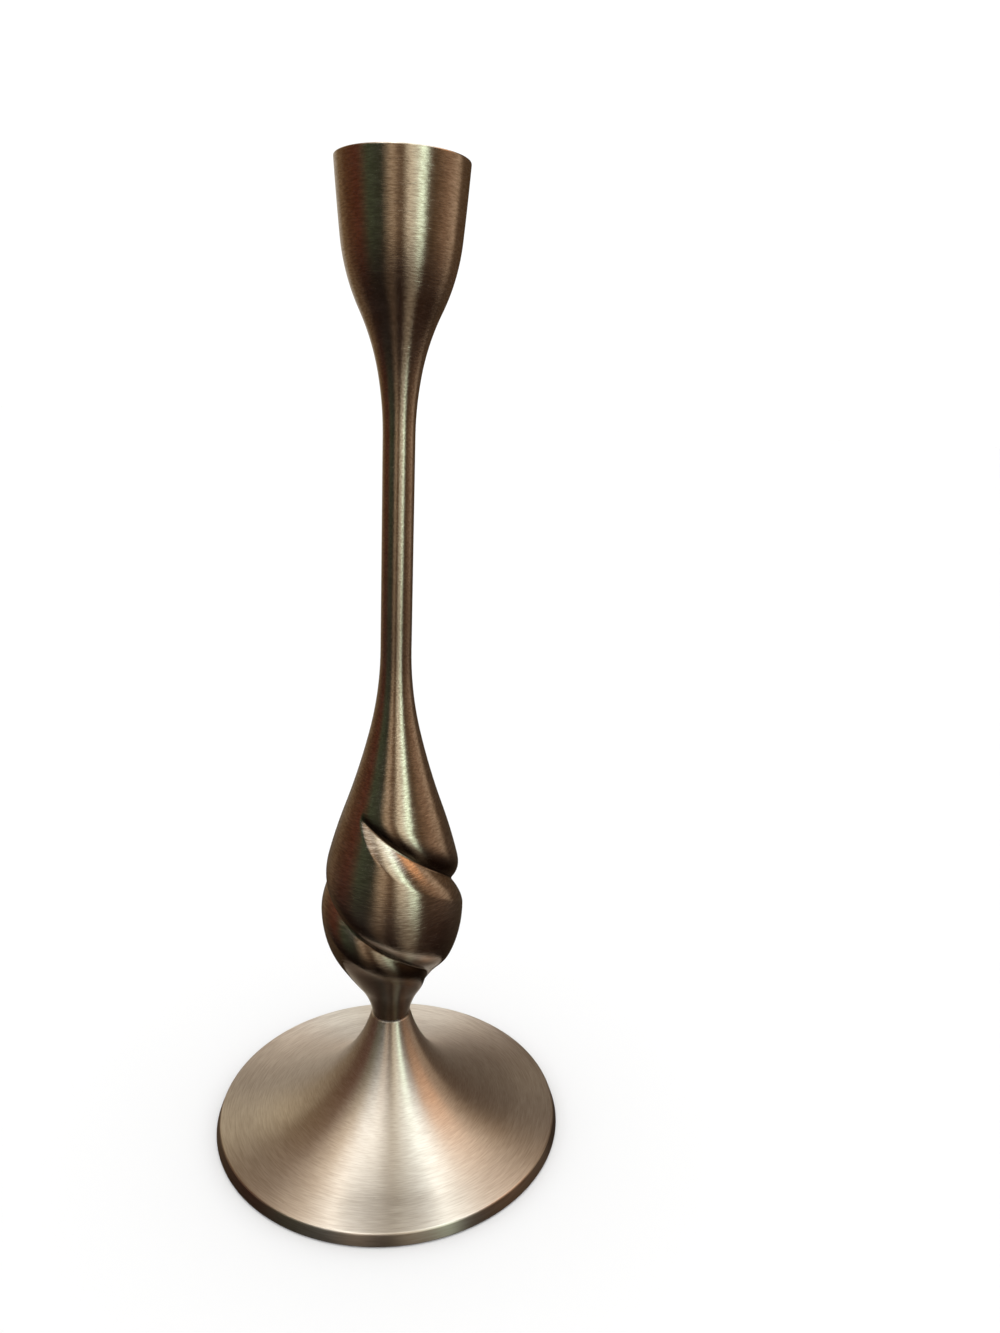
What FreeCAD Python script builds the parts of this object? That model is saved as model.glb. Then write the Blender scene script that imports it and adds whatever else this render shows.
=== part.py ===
import FreeCAD, Part
import math
import os

import Sketcher

# Spiral candle holder. The origin is on the floor under the middle of the foot,
# Z points up and -Y is the front, where the upper spiral groove starts.

# Driving dimensions in mm and degrees: alias, value, what it measures
SIZES = [
    ("foot_radius", 57.8, "radius of the foot at its lower edge"),
    ("foot_draft", 1.3, "how much narrower the foot is at the top of its edge"),
    ("foot_edge_height", 3.9, "height of the foot's upright edge above the floor"),
    ("foot_wall", 2.2, "wall of the hollow foot"),
    ("apron_slope", 5.0, "slope of the flat outer part of the foot, in degrees"),
    ("apron_width", 9.0, "width of the flat outer part of the foot"),
    ("collar_radius", 6.6, "radius of the foot's collar, where the stem sits"),
    ("joint_height", 39.3, "height of the joint between foot and stem"),
    ("edge_chamfer", 0.4, "small chamfer on the turned edges"),
    ("boss_depth", 19.3, "length of the solid boss under the joint"),
    ("felt_thickness", 1.5, "thickness of the felt disc"),
    ("felt_proud", 0.4, "how far the felt stands out below the metal"),
    ("felt_inset", 3.2, "metal left outside the felt disc"),
    ("felt_land_width", 6.0, "width of the ring that the felt is glued to"),
    ("felt_clearance", 0.3, "gap round the felt disc"),
    ("neck_radius", 6.0, "radius of the stem casting at the joint"),
    ("neck_lean", 8.4, "outward lean of the neck at the joint, in degrees"),
    ("flare_radius", 17.9, "radius of the bud where its lower curve turns over"),
    ("flare_rise", 21.9, "height of that place above the joint"),
    ("flare_lean", 31.5, "outward lean there, in degrees"),
    ("belly_radius", 22.8, "largest radius of the bud"),
    ("belly_rise", 40.3, "height of the widest place of the bud above the joint"),
    ("shoulder_radius", 15.4, "radius of the bud where its upper curve turns over"),
    ("shoulder_rise", 74.5, "height of that place above the joint"),
    ("shoulder_lean", -20.0, "inward lean there, in degrees"),
    ("stem_radius", 4.7, "radius of the thin stem"),
    ("bud_length", 125.7, "length of the bud, from the joint to the thin stem"),
    ("stem_length", 63.0, "length of the thin stem"),
    ("cup_height", 72.0, "height of the tulip cup with its flare"),
    ("cup_turn_radius", 11.6, "radius of the cup where its curve turns over"),
    ("cup_turn_drop", 38.3, "depth of that place below the rim"),
    ("cup_turn_lean", 25.6, "outward lean there, in degrees"),
    ("rim_radius", 18.5, "outer radius of the cup's rim"),
    ("rim_lean", 4.2, "outward lean of the cup at its rim, in degrees"),
    ("lip_width", 1.9, "width of the cup's flat lip"),
    ("candle_radius", 11.2, "radius of the socket for the candle"),
    ("candle_depth", 22.0, "depth of the straight socket"),
    ("mouth_depth", 11.0, "depth of the flared mouth above the socket"),
    ("groove_rise", 75.5, "height of the spiral's upper tip above the joint"),
    ("groove_azimuth", -42.0, "angle of the upper tip from the front, in degrees"),
    ("groove_pitch", 72.0, "drop of the spiral in one turn"),
    ("groove_depth", 3.6, "depth of the spiral step"),
    ("groove_wall_width", 10.1, "height of the rounded upper side of the groove"),
    ("groove_face_width", 8.4, "height of the flat lower side of the groove"),
    ("groove_standout", 0.25, "how far the groove's cutter stands out past the bud's surface"),
    ("groove_open_angle", 21.0, "angle in which the groove widens, in degrees"),
    ("groove_deepen_angle", 45.0, "angle in which the groove deepens, in degrees"),
    ("groove_fade_angle", 269.0, "angle from the tip where the groove starts to fade"),
    ("groove_end_angle", 313.0, "angle from the tip where the groove ends"),
    ("stud_radius", 3.0, "radius of the threaded stud"),
    ("stud_tail", 4.5, "length of the stud left below the nut"),
    ("stud_grip", 14.0, "length of the stud inside the stem"),
    ("stud_clearance", 0.1, "gap between the stud and the stem's tapped hole"),
    ("stud_hole_clearance", 0.3, "gap between the stud and the hole in the foot"),
    ("socket_spare", 2.0, "depth of the tapped hole beyond the stud's end"),
    ("drill_point_angle", 59.0, "half angle of the drill point, in degrees"),
    ("washer_radius", 6.2, "outer radius of the flat washer"),
    ("washer_thickness", 1.6, "thickness of the flat washer"),
    ("spring_radius", 5.9, "outer radius of the spring washer"),
    ("spring_thickness", 1.6, "thickness of the spring washer"),
    ("spring_gap", 1.0, "width of the spring washer's slanted slit"),
    ("washer_clearance", 0.15, "gap between the stud and each washer"),
    ("nut_flats", 10.0, "width of the nut across its flats"),
    ("nut_height", 5.0, "height of the nut"),
    ("overrun", 3.0, "how far a cutting outline reaches past the metal"),
]

# The groove's cutter: least width at its tip, bulge of its upper side, steps along its way
TIP_WIDTH_SHARE = 0.1
BULGE_SHARE = 0.18
GROOVE_SECTIONS = 28
STARTS = 2

# The place on the turned outline where the straight run of the thin stem starts
STEM_RUN = 4

# How near an edge must lie to a ring to be taken for it, as a share of the ring's radius
NEAR_SHARE = 0.001

# Where the middle point of the foot's arc lies, and the cones that make the roof of its hollow
CONE_MIDDLE_SHARE = 0.7
ROOF_CONES = 3
TURN = 360.0


class Size:
    """A length with its value and the sheet expression that gives it."""

    def __init__(self, value, text):
        self.value = value
        self.text = text

    def __add__(self, other):
        return Size(self.value + other.value, f"({self.text} + {other.text})")

    def __sub__(self, other):
        return Size(self.value - other.value, f"({self.text} - {other.text})")


class Sizes:
    """Every cell of the sheet, read back by its alias."""

    def __init__(self, sheet):
        for alias, _, _ in SIZES:
            setattr(self, alias, Size(float(getattr(sheet, alias)), f"{sheet.Name}.{alias}"))


def make_sheet(doc):
    sheet = doc.addObject("Spreadsheet::Sheet", "sizes")
    for row, (alias, value, meaning) in enumerate(SIZES, start=1):
        sheet.set(f"A{row}", alias)
        sheet.set(f"B{row}", str(value))
        sheet.set(f"C{row}", meaning)
        sheet.setAlias(f"B{row}", alias)
    doc.recompute()
    return sheet


def make_body(doc, name):
    body = doc.addObject("PartDesign::Body", name)
    body.Label = name
    return body


def sketch_on(body, name, role, height=None):
    plane = next(item for item in body.Origin.OriginFeatures if item.Role == role)
    sketch = body.newObject("Sketcher::SketchObject", name)
    sketch.AttachmentSupport = [(plane, "")]
    sketch.MapMode = "FlatFace"
    if height is not None:
        sketch.AttachmentOffset.Base.z = height.value
        sketch.setExpression("AttachmentOffset.Base.z", height.text)
    return sketch


def constrain(sketch, constraint, size):
    index = sketch.addConstraint(constraint)
    sketch.setExpression(f"Constraints[{index}]", size.text)


def number(coordinate):
    return coordinate.value if isinstance(coordinate, Size) else coordinate


def point(corner):
    return FreeCAD.Vector(number(corner[0]), number(corner[1]), 0)


def end_of(sketch, index, place):
    """Which end of the edge lies at the place: 1 for its start, 2 for its end."""
    start_gap = sketch.getPoint(index, 1).distanceToPoint(place)
    end_gap = sketch.getPoint(index, 2).distanceToPoint(place)
    return 1 if start_gap < end_gap else 2


def closed_outline(sketch, corners, middles=None):
    """Draws edges from corner to corner. An edge with a middle point is an arc.
    A corner's coordinate that is a Size is held there by the sheet."""
    middles = middles or {}
    count = len(corners)
    edges = []
    for index in range(count):
        start = point(corners[index])
        finish = point(corners[(index + 1) % count])
        if index in middles:
            edges.append(sketch.addGeometry(Part.Arc(start, point(middles[index]), finish), False))
        else:
            edges.append(sketch.addGeometry(Part.LineSegment(start, finish), False))
    for index in range(count):
        corner = corners[index]
        edge = edges[index]
        before = edges[index - 1]
        here = end_of(sketch, edge, point(corner))
        there = end_of(sketch, before, point(corner))
        sketch.addConstraint(Sketcher.Constraint("Coincident", before, there, edge, here))
        for kind, coordinate in (("DistanceX", corner[0]), ("DistanceY", corner[1])):
            if isinstance(coordinate, Size):
                held = Sketcher.Constraint(kind, -1, 1, edge, here, coordinate.value)
                constrain(sketch, held, coordinate)


def circle(sketch, radius):
    index = sketch.addGeometry(Part.Circle(FreeCAD.Vector(), FreeCAD.Vector(0, 0, 1), radius.value), False)
    sketch.addConstraint(Sketcher.Constraint("Coincident", index, 3, -1, 1))
    constrain(sketch, Sketcher.Constraint("Radius", index, radius.value), radius)


def turn_about_axis(body, kind, name, sketch):
    """A Revolution or Groove of the sketch about its upright axis."""
    feature = body.newObject(kind, name)
    feature.Profile = sketch
    feature.ReferenceAxis = (sketch, ["V_Axis"])
    feature.Angle = TURN
    return feature


def pad(body, name, sketch, length, upwards=True):
    feature = body.newObject("PartDesign::Pad", name)
    feature.Profile = sketch
    feature.Length = length.value
    feature.setExpression("Length", length.text)
    feature.Reversed = not upwards
    return feature


def chamfer(doc, body, name, edges, size):
    base = body.Tip
    feature = body.newObject("PartDesign::Chamfer", name)
    feature.Base = (base, edges)
    feature.Size = size.value
    feature.setExpression("Size", size.text)
    return feature


def ring_edges(shape, radius, height):
    """Names of the closed edges that run round the axis at a radius and height."""
    tolerance = radius.value * NEAR_SHARE
    found = []
    for index, edge in enumerate(shape.Edges, start=1):
        middle = (edge.FirstParameter + edge.LastParameter) / 2
        places = [edge.valueAt(edge.FirstParameter), edge.valueAt(middle)]
        level = all(abs(place.z - height.value) < tolerance for place in places)
        reach = all(abs(math.hypot(place.x, place.y) - radius.value) < tolerance for place in places)
        if edge.isClosed() and level and reach:
            found.append(f"Edge{index}")
    return found


# The stem casting's turned outline: arcs that run smoothly into each other

def between(low, high, share):
    return low + (high - low) * share


def heights(size):
    """The heights where the bud, the thin stem and the cup meet."""
    stem_base = size.joint_height + size.bud_length
    stem_top = stem_base + size.stem_length
    rim = stem_top + size.cup_height
    return stem_base, stem_top, rim


def heading(lean):
    """The direction of an outline that leans outwards from upright by some degrees."""
    turn = math.radians(lean)
    return FreeCAD.Vector(math.sin(turn), math.cos(turn), 0)


def turned_stations(size):
    """Places on the turned outline, each with the outline's heading there."""
    stem_base, stem_top, rim = heights(size)
    upright = 0.0
    stations = [
        (size.neck_radius, size.joint_height, size.neck_lean.value),
        (size.flare_radius, size.joint_height + size.flare_rise, size.flare_lean.value),
        (size.belly_radius, size.joint_height + size.belly_rise, upright),
        (size.shoulder_radius, size.joint_height + size.shoulder_rise, size.shoulder_lean.value),
        (size.stem_radius, stem_base, upright),
        (size.stem_radius, stem_top, upright),
        (size.cup_turn_radius, rim - size.cup_turn_drop, size.cup_turn_lean.value),
        (size.rim_radius, rim, size.rim_lean.value),
    ]
    return [((radius, height), heading(lean)) for radius, height, lean in stations]


def arc_join(start, start_heading, finish, finish_heading):
    """Where two arcs meet that join two places smoothly."""
    span = finish - start
    both = start_heading + finish_heading
    spread = 2 * (1 - start_heading.dot(finish_heading))
    along = span.dot(both)
    square = span.dot(span)
    if spread * square < 1e-9 * along * along:
        reach = square / (2 * along)
    else:
        reach = (math.sqrt(along * along + spread * square) - along) / spread
    return (start + finish + (start_heading - finish_heading) * reach) * 0.5


class OutlineArc:
    """An arc of the outline from start to finish that leaves start in a given direction."""

    def __init__(self, start, start_heading, finish):
        self.start = start
        self.finish = finish
        side = FreeCAD.Vector(start_heading.y, -start_heading.x, 0)
        span = finish - start
        self.reach = span.dot(span) / (2 * side.dot(span))
        self.centre = start + side * self.reach
        outward = (start + finish) * 0.5 - self.centre
        self.middle = self.centre + outward.normalize() * abs(self.reach)

    def radius_at(self, height):
        offset = math.sqrt(self.reach ** 2 - (height - self.centre.y) ** 2)
        return self.centre.x + math.copysign(offset, self.start.x - self.centre.x)


def turned_arcs(size):
    """The outline's arcs from the joint up to the rim, two between each pair of places.
    The straight run of the thin stem has none."""
    stations = turned_stations(size)
    arcs = []
    for index in range(len(stations) - 1):
        if index == STEM_RUN:
            continue
        start, start_heading = stations[index]
        finish, finish_heading = stations[index + 1]
        join = arc_join(point(start), start_heading, point(finish), finish_heading)
        arcs.append(OutlineArc(point(start), start_heading, join))
        arcs.append(OutlineArc(point(finish), finish_heading * -1, join))
    return arcs


def turned_outline(size, arcs):
    """Corners of the casting's closed outline, and the middles of its arcs by their edge."""
    rim = heights(size)[2]
    corners = [(0.0, size.joint_height)]
    middles = {}
    pairs = iter(zip(arcs[::2], arcs[1::2]))
    for index, (place, _) in enumerate(turned_stations(size)):
        corners.append(place)
        if index == STEM_RUN:
            continue
        lower, upper = next(pairs, (None, None))
        if lower:
            middles[len(corners) - 1] = lower.middle
            corners.append(lower.finish)
            middles[len(corners) - 1] = upper.middle
    corners.append((0.0, rim))
    return corners, middles


def turned_radius(arcs, height):
    """The bud's radius at a height before the grooves are cut."""
    for arc in arcs:
        low = min(arc.start.y, arc.finish.y)
        high = max(arc.start.y, arc.finish.y)
        if low <= height <= high:
            return arc.radius_at(height)
    raise ValueError("the groove runs off the bud")


# The spiral: two grooves, half a turn apart, that wind down round the bud

def groove_depth(size, along):
    """Depth of the groove at an angle from its tip. Past its two ends it is below zero."""
    deepened = 1 - math.exp(-along / size.groove_deepen_angle.value)
    fade_length = size.groove_end_angle.value - size.groove_fade_angle.value
    faded = max((along - size.groove_fade_angle.value) / fade_length, 0.0)
    return size.groove_depth.value * deepened * (1 - faded * faded)


def groove_section(size, arcs, along):
    """Corners and the bulge of the cutter's outline, in the upright plane at an angle from the tip."""
    depth = groove_depth(size, along)
    opened = 1 - math.exp(-max(along, 0.0) / size.groove_open_angle.value)
    width_share = between(TIP_WIDTH_SHARE, 1.0, opened)
    tip_height = (size.joint_height + size.groove_rise).value
    valley_height = tip_height - size.groove_pitch.value * along / TURN
    upper_height = valley_height + size.groove_wall_width.value * width_share
    lower_height = valley_height - size.groove_face_width.value * width_share
    standout = size.groove_standout.value
    valley = (turned_radius(arcs, valley_height) - depth, valley_height)
    upper = (turned_radius(arcs, upper_height) + standout, upper_height)
    lower = (turned_radius(arcs, lower_height) + standout, lower_height)
    overrun = size.overrun.value
    corners = [valley, upper, (upper[0] + overrun, upper_height), (lower[0] + overrun, lower_height), lower]
    chord = math.hypot(upper[0] - valley[0], upper[1] - valley[1])
    bulge = BULGE_SHARE * max(depth, 0.0) + standout * TIP_WIDTH_SHARE
    middle = ((valley[0] + upper[0]) / 2 + bulge * (upper[1] - valley[1]) / chord,
              (valley[1] + upper[1]) / 2 - bulge * (upper[0] - valley[0]) / chord)
    return corners, middle


def cut_grooves(doc, body, size, arcs):
    """Lofts one groove's cutter through its sections and repeats it round the bud."""
    beyond = (size.groove_end_angle.value - size.groove_fade_angle.value) / 10
    first = -beyond
    last = size.groove_end_angle.value + beyond
    sections = []
    for step in range(GROOVE_SECTIONS):
        along = between(first, last, step / (GROOVE_SECTIONS - 1))
        bearing = size.groove_azimuth.value + along
        section = sketch_on(body, f"groove_section_{step}", "XZ_Plane")
        turn = FreeCAD.Rotation(FreeCAD.Vector(0, 1, 0), bearing - TURN / 4)
        section.AttachmentOffset = FreeCAD.Placement(FreeCAD.Vector(), turn)
        corners, middle = groove_section(size, arcs, along)
        closed_outline(section, corners, {0: middle})
        sections.append(section)
    groove = body.newObject("PartDesign::SubtractiveLoft", "spiral_groove")
    groove.Profile = sections[0]
    groove.Sections = sections[1:]
    doc.recompute()
    pattern = body.newObject("PartDesign::PolarPattern", "spiral_grooves")
    pattern.Originals = [groove]
    pattern.Axis = (sections[0], ["V_Axis"])
    pattern.Angle = TURN
    pattern.Occurrences = STARTS
    body.Tip = pattern
    doc.recompute()


# Sub-parts

def make_stem_casting(doc, size):
    """Cup, thin stem and twisted bud, cast in one piece."""
    stem_base, stem_top, rim = heights(size)
    arcs = turned_arcs(size)
    corners, middles = turned_outline(size, arcs)
    body = make_body(doc, "stem_casting")
    blank = sketch_on(body, "turned_outline", "XZ_Plane")
    closed_outline(blank, corners, middles)
    turn_about_axis(body, "PartDesign::Revolution", "turned_blank", blank)
    doc.recompute()
    cut_grooves(doc, body, size, arcs)

    mouth_floor = rim - size.mouth_depth
    socket_floor = mouth_floor - size.candle_depth
    mouth_radius = size.rim_radius - size.lip_width
    mouth = sketch_on(body, "candle_socket_outline", "XZ_Plane")
    corners = [(0.0, socket_floor), (size.candle_radius, socket_floor), (size.candle_radius, mouth_floor),
               (mouth_radius, rim), (mouth_radius, rim + size.overrun), (0.0, rim + size.overrun)]
    closed_outline(mouth, corners)
    turn_about_axis(body, "PartDesign::Groove", "candle_socket", mouth)

    hole_radius = size.stud_radius + size.stud_clearance
    hole_top = size.joint_height + size.stud_grip + size.socket_spare
    point_height = hole_radius.value / math.tan(math.radians(size.drill_point_angle.value))
    hole = sketch_on(body, "stud_socket_outline", "XZ_Plane")
    below = size.joint_height - size.overrun
    closed_outline(hole, [(0.0, below), (hole_radius, below), (hole_radius, hole_top),
                          (0.0, hole_top.value + point_height)])
    turn_about_axis(body, "PartDesign::Groove", "stud_socket", hole)

    doc.recompute()
    edges = ring_edges(body.Shape, size.rim_radius, rim)
    edges += ring_edges(body.Shape, mouth_radius, rim)
    edges += ring_edges(body.Shape, size.neck_radius, size.joint_height)
    chamfer(doc, body, "lip_chamfers", edges, size.edge_chamfer)
    return body


def make_trumpet_foot(doc, size):
    """Hollow cast foot with a concave cone and a boss for the stud."""
    slope = math.radians(size.apron_slope.value)
    normal = FreeCAD.Vector(math.sin(slope), math.cos(slope), 0)
    outward = FreeCAD.Vector(math.cos(slope), -math.sin(slope), 0)
    edge_top = (size.foot_radius - size.foot_draft, size.foot_edge_height)
    collar = (size.collar_radius, size.joint_height - size.edge_chamfer)
    tangent = point(edge_top) - outward * size.apron_width.value
    rise = point(collar) - tangent
    outer_arc = rise.dot(rise) / (2 * rise.dot(normal))
    inner_arc = outer_arc + size.foot_wall.value
    centre = tangent + normal * outer_arc
    inner_tangent = centre - normal * inner_arc

    def on_arc(radius, height):
        return centre.x - math.sqrt(radius * radius - (centre.y - height) ** 2)

    hole_radius = size.stud_radius + size.stud_hole_clearance
    seat = size.joint_height - size.boss_depth
    metal_floor = size.felt_proud
    recess_radius = size.foot_radius - size.felt_inset
    land_radius = recess_radius - size.felt_land_width
    drop = math.tan(slope) * (land_radius.value - inner_tangent.x)
    land_top = inner_tangent.y - drop
    seat_radius = on_arc(inner_arc, seat.value)
    middle_height = between(collar[1].value, tangent.y, CONE_MIDDLE_SHARE)
    seat_place = FreeCAD.Vector(seat_radius, seat.value, 0) - centre
    roof_turn = seat_place.getAngle(inner_tangent - centre)
    roof = []
    for step in range(1, ROOF_CONES):
        turn = roof_turn * step / ROOF_CONES
        roof.append(centre + FreeCAD.Rotation(FreeCAD.Vector(0, 0, 1), math.degrees(turn)) * seat_place)
    corners = [
        (hole_radius, size.joint_height),
        (size.collar_radius - size.edge_chamfer, size.joint_height),
        collar,
        (tangent.x, tangent.y),
        edge_top,
        (size.foot_radius, metal_floor),
        (recess_radius, metal_floor),
        (recess_radius, size.felt_thickness),
        (land_radius, size.felt_thickness),
        (land_radius, land_top),
        inner_tangent,
        *reversed(roof),
        (seat_radius, seat),
        (hole_radius, seat),
    ]
    middles = {2: (on_arc(outer_arc, middle_height), middle_height)}
    body = make_body(doc, "trumpet_foot")
    outline = sketch_on(body, "foot_outline", "XZ_Plane")
    closed_outline(outline, corners, middles)
    turn_about_axis(body, "PartDesign::Revolution", "foot_turned", outline)
    return body


def fastener_levels(size):
    """Heights of the undersides of the two washers and the nut, and of the stud's lower end."""
    seat = size.joint_height - size.boss_depth
    washer = seat - size.washer_thickness
    spring = washer - size.spring_thickness
    nut = spring - size.nut_height
    stud = nut - size.stud_tail
    return washer, spring, nut, stud


def make_foot_stud(doc, size):
    """Stud that joins foot and stem, with chamfered ends."""
    stud_floor = fastener_levels(size)[3]
    stud_top = size.joint_height + size.stud_grip
    body = make_body(doc, "foot_stud")
    outline = sketch_on(body, "stud_circle", "XY_Plane", stud_floor)
    circle(outline, size.stud_radius)
    pad(body, "stud_rod", outline, stud_top - stud_floor)
    doc.recompute()
    edges = ring_edges(body.Shape, size.stud_radius, stud_floor)
    edges += ring_edges(body.Shape, size.stud_radius, stud_top)
    chamfer(doc, body, "stud_ends", edges, size.edge_chamfer)
    return body


def make_flat_washer(doc, size):
    body = make_body(doc, "flat_washer")
    outline = sketch_on(body, "washer_circles", "XY_Plane", fastener_levels(size)[0])
    circle(outline, size.washer_radius)
    circle(outline, size.stud_radius + size.washer_clearance)
    pad(body, "washer_disc", outline, size.washer_thickness)
    return body


def make_lock_washer(doc, size):
    """Spring washer, pressed flat, with its slanted slit at the back."""
    level = fastener_levels(size)[1]
    body = make_body(doc, "lock_washer")
    outline = sketch_on(body, "spring_circles", "XY_Plane", level)
    circle(outline, size.spring_radius)
    circle(outline, size.stud_radius + size.washer_clearance)
    pad(body, "spring_ring", outline, size.spring_thickness)
    doc.recompute()
    whole = body.Shape.Volume
    below = level - size.overrun
    above = level + size.spring_thickness + size.overrun
    lean = (above.value - below.value) / 2
    half = size.spring_gap.value / 2
    slit = sketch_on(body, "slit_outline", "XZ_Plane")
    closed_outline(slit, [(-lean - half, below), (-lean + half, below), (lean + half, above),
                          (lean - half, above)])
    cut = body.newObject("PartDesign::Pocket", "spring_slit")
    cut.Profile = slit
    length = size.spring_radius + size.overrun
    cut.Length = length.value
    cut.setExpression("Length", length.text)
    doc.recompute()
    if body.Shape.Volume >= whole:
        cut.Reversed = not cut.Reversed
    return body


def make_hex_nut(doc, size):
    """Hexagon nut with both faces chamfered round."""
    level = fastener_levels(size)[2]
    corner_radius = size.nut_flats.value / math.sqrt(3)
    body = make_body(doc, "hex_nut")
    hexagon = sketch_on(body, "nut_hexagon", "XY_Plane", level)
    corners = []
    for side in range(6):
        turn = math.radians(TURN / 6 * side)
        corners.append((corner_radius * math.cos(turn), corner_radius * math.sin(turn)))
    closed_outline(hexagon, corners)
    across = size.nut_flats
    lowest, highest = 4, 1
    flats = Sketcher.Constraint("DistanceY", lowest, 1, highest, 1, across.value)
    constrain(hexagon, flats, across)
    circle(hexagon, size.stud_radius + size.washer_clearance)
    pad(body, "nut_block", hexagon, size.nut_height)
    top = level + size.nut_height
    slant = (corner_radius - size.nut_flats.value / 2) * math.tan(math.radians(30))
    far = corner_radius + size.overrun.value
    fall = slant * (far - size.nut_flats.value / 2) / (corner_radius - size.nut_flats.value / 2)
    inner = size.nut_flats.value / 2
    for name, face, away in (("nut_top_chamfer", top, 1), ("nut_bottom_chamfer", level, -1)):
        cut = sketch_on(body, name + "_outline", "XZ_Plane")
        closed_outline(cut, [(inner, face), (far, face.value - away * fall),
                             (far, face.value + away * size.overrun.value),
                             (inner, face.value + away * size.overrun.value)])
        turn_about_axis(body, "PartDesign::Groove", name, cut)
    return body


def make_felt_pad(doc, size):
    """Felt disc glued under the foot. The holder stands on it."""
    body = make_body(doc, "felt_pad")
    outline = sketch_on(body, "felt_circle", "XY_Plane")
    circle(outline, size.foot_radius - size.felt_inset - size.felt_clearance)
    pad(body, "felt_disc", outline, size.felt_thickness)
    return body


def check(doc, bodies):
    for item in doc.Objects:
        if "Invalid" in item.State or "Error" in item.State:
            raise RuntimeError(f"{item.Name} failed: {item.State}")
    for body in bodies:
        if body.Shape.isNull() or not body.Shape.isValid() or len(body.Shape.Solids) != 1:
            raise RuntimeError(f"{body.Label} is not one valid solid")


def main():
    doc = FreeCAD.newDocument("spiral_candle_holder")
    size = Sizes(make_sheet(doc))
    makers = [make_stem_casting, make_trumpet_foot, make_foot_stud, make_flat_washer, make_lock_washer,
              make_hex_nut, make_felt_pad]
    bodies = [maker(doc, size) for maker in makers]
    doc.recompute()
    check(doc, bodies)
    os.makedirs("parts", exist_ok=True)
    for body in bodies:
        body.Shape.exportStep(f"parts/{body.Label}.step")
        print(f"{body.Label}: {body.Shape.Volume:.1f} mm3")


main()
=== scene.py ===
import math

import bpy
from mathutils import Matrix, Vector


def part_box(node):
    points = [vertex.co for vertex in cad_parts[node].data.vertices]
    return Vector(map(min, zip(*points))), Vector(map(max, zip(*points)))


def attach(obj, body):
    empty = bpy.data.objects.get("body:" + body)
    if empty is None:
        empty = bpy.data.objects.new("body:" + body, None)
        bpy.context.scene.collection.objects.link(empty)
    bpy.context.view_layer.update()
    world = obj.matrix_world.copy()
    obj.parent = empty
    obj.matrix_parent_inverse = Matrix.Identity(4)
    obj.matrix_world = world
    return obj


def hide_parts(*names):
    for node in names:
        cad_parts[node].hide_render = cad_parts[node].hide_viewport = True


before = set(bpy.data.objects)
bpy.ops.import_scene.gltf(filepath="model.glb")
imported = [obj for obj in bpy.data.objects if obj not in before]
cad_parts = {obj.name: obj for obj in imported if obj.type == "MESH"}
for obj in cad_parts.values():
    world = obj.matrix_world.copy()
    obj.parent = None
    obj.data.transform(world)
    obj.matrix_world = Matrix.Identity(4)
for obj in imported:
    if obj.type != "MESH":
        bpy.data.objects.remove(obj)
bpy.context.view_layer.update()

# Spiral candle holder: satin brushed metal, all lengths in metres
MM = 0.001
DEGREE = math.pi / 180

# Levels and radii that the frame gives
CASTING_LOW, CASTING_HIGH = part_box("stem_casting")
FOOT_LOW, FOOT_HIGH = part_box("trumpet_foot")
FELT_LOW, FELT_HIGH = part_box("felt_pad")
JOINT_HEIGHT = CASTING_LOW.z
RIM_HEIGHT = CASTING_HIGH.z
FOOT_RADIUS = FOOT_HIGH.x

# The casting's turned outline: radius, height above the joint or below the rim, outward lean
NECK_RADIUS, NECK_LEAN = 6.0 * MM, 8.4 * DEGREE
FLARE_RADIUS, FLARE_RISE, FLARE_LEAN = 17.9 * MM, 21.9 * MM, 31.5 * DEGREE
BELLY_RADIUS, BELLY_RISE = 22.8 * MM, 40.3 * MM
SHOULDER_RADIUS, SHOULDER_RISE, SHOULDER_LEAN = 15.4 * MM, 74.5 * MM, -20.0 * DEGREE
STEM_RADIUS, BUD_LENGTH, STEM_LENGTH = 4.7 * MM, 125.7 * MM, 63.0 * MM
CUP_TURN_RADIUS, CUP_TURN_DROP, CUP_TURN_LEAN = 11.6 * MM, 38.3 * MM, 25.6 * DEGREE
RIM_RADIUS, RIM_LEAN = 18.5 * MM, 4.2 * DEGREE
LIP_WIDTH, LIP_ROUNDING = 1.9 * MM, 0.45 * MM
CANDLE_RADIUS, CANDLE_DEPTH, MOUTH_DEPTH = 11.2 * MM, 22.0 * MM, 11.0 * MM

# The foot's outline
FOOT_DRAFT, FOOT_EDGE, FOOT_WALL = 1.3 * MM, 3.9 * MM, 2.2 * MM
APRON_SLOPE, APRON_WIDTH, COLLAR_RADIUS = 5.0 * DEGREE, 9.0 * MM, 6.6 * MM
FELT_INSET, FELT_LAND_WIDTH, FELT_RECESS_TOP = 3.2 * MM, 6.0 * MM, 1.5 * MM
BOSS_DEPTH, STUD_HOLE_RADIUS = 19.3 * MM, 3.3 * MM
EDGE_ROUNDING = 0.35 * MM
# The felt's rounding, as a share of its thickness
FELT_ROUNDING = 0.3

# The spiral grooves
GROOVE = {
    "Tip height": JOINT_HEIGHT + 75.5 * MM,
    "Tip angle": -42.0,
    "Drop per turn": 72.0 * MM,
    "Depth": 3.6 * MM,
    "Upper side": 10.1 * MM,
    "Lower side": 8.4 * MM,
    "Opening angle": 21.0,
    "Deepening angle": 32.0,
    "Fade angle": 269.0,
    "End angle": 313.0,
}
STARTS = 2

# A groove's share of its full width at the tip, and how hollow its lower side gets
TIP_WIDTH, LOWER_HOLLOW = 0.1, 0.7

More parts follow.
